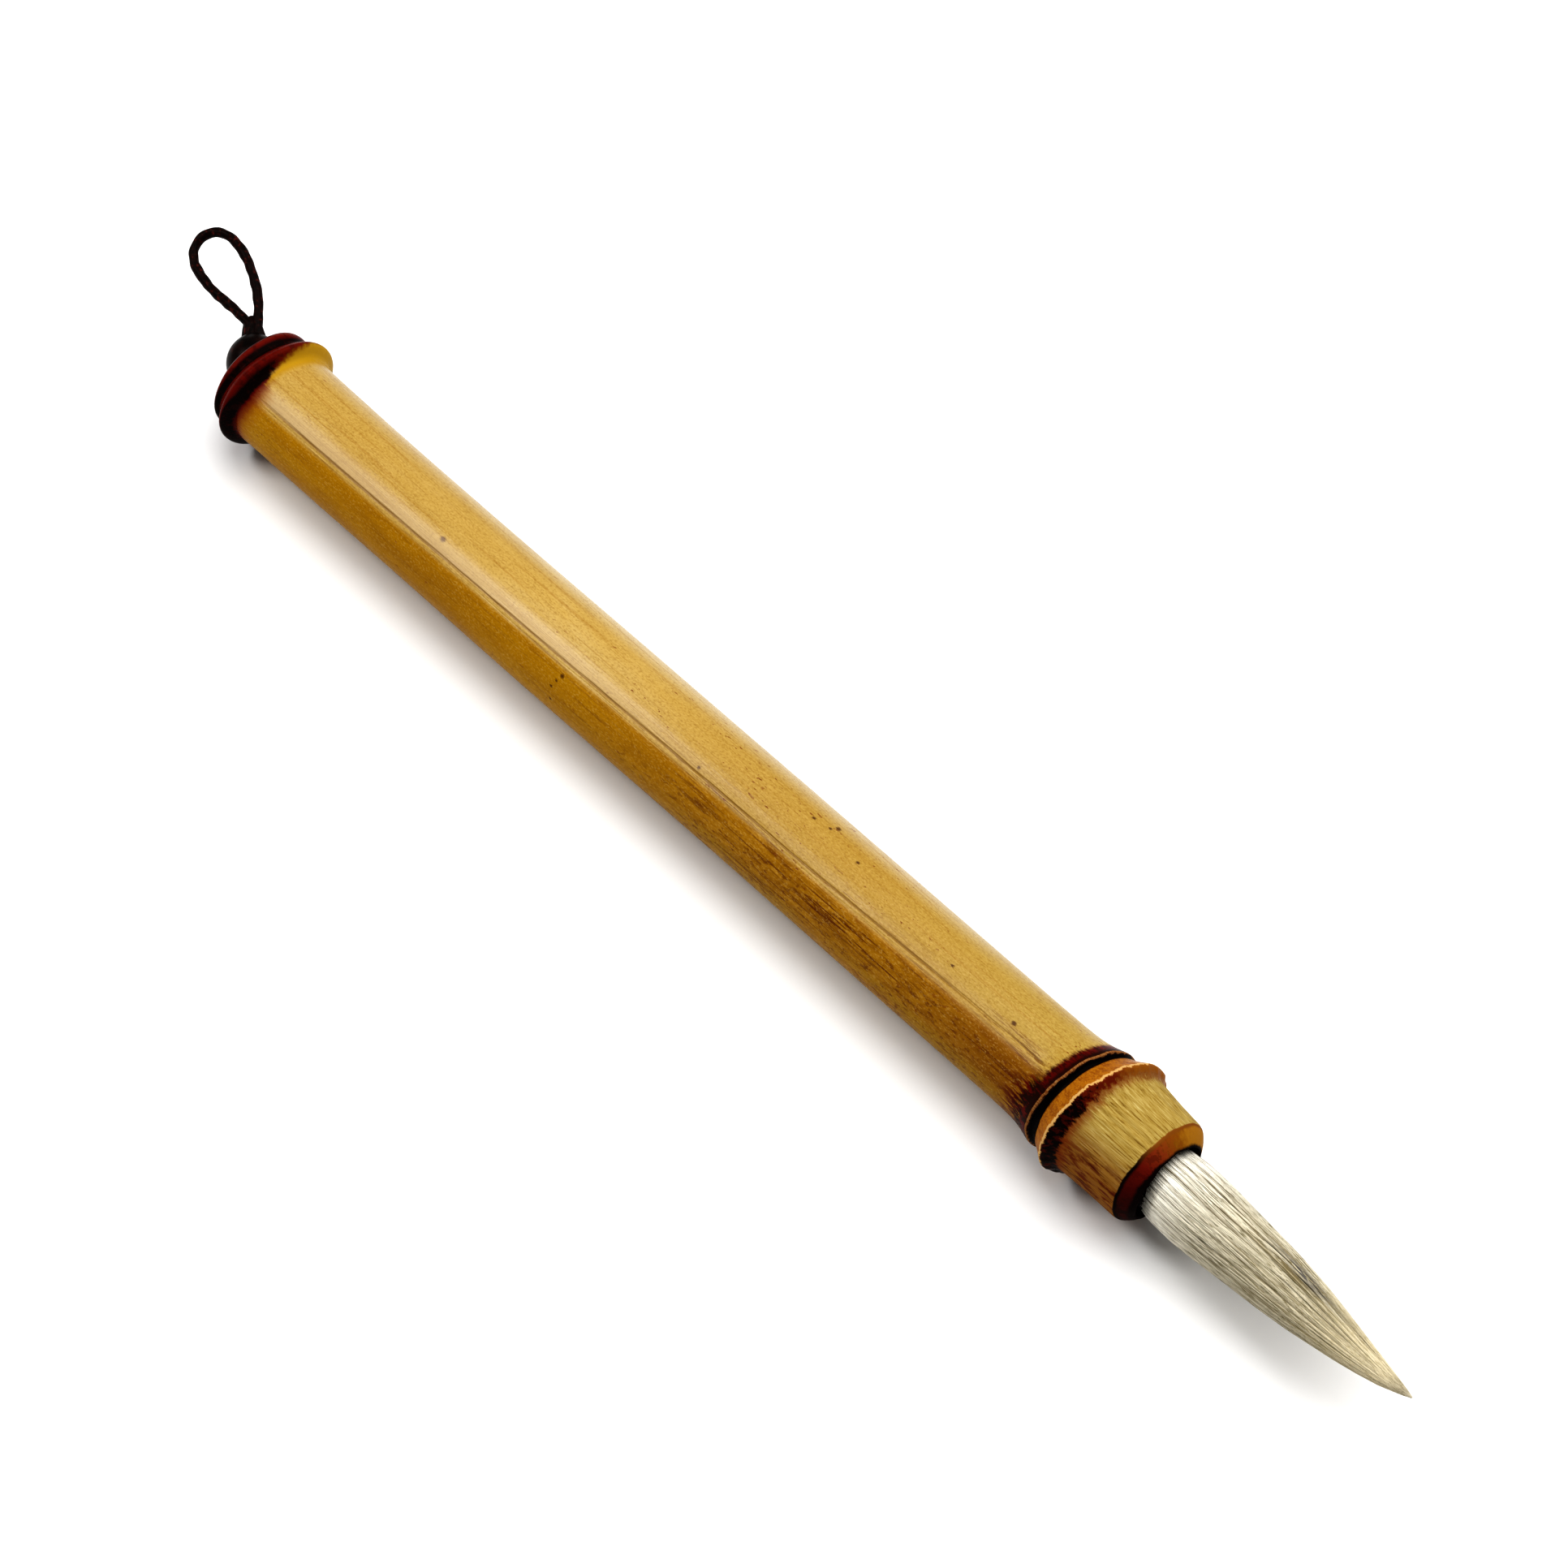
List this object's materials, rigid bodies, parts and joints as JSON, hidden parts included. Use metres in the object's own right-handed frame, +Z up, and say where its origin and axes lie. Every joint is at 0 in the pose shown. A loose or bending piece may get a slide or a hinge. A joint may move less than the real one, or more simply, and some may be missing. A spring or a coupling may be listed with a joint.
{
  "type": "calligraphy brush",
  "caption": "Bamboo calligraphy brush with node ridges, a pointed hair tuft that bends at the mouth and a waxed cord hanging loop.",
  "frame": {"origin": "on the surface that the brush lies on, under the middle of the brush from knob to hair tip", "axes": "+X along the brush towards the tip of the hair, +Z up"},
  "size_m": [0.2442, 0.02, 0.0178],
  "materials": {
    "bamboo": "glossy natural bamboo skin with scorched nodes",
    "knob_lacquer": "dark lacquered",
    "waxed_cord": "waxed, slight sheen",
    "adhesive": "hardened glue",
    "rosin": "melted rosin",
    "binding_thread": "undyed thread",
    "hair": "white goat hair with a cream tip"
  },
  "bodies": {
    "handle": {"culm": "bamboo", "end_knob": "knob_lacquer", "loop_tails": "waxed_cord", "socket_glue": "adhesive", "root_seal": "rosin", "root_binding": "binding_thread", "tuft_root": "hair"},
    "tuft": {"hair_core": "hair", "hair_belly": "hair", "hair_cover": "hair"},
    "loop": {"hanging_loop": "waxed_cord"}
  },
  "joints": [
    {"name": "tuft_bend", "type": "hinge", "parent": "handle", "child": "tuft", "pos_m": [0.0738, 0, 0.00885], "axis": [0, 0, 1], "range_deg": [-40, 40], "stiffness_Nm_per_rad": 0.01},
    {"name": "loop_swing", "type": "hinge", "parent": "handle", "child": "loop", "pos_m": [-0.11339, 0.00407, 0.0112], "axis": [0.289, 0.8289, 0.479], "range_deg": [-45, 60], "stiffness_Nm_per_rad": 0.0003}
  ]
}
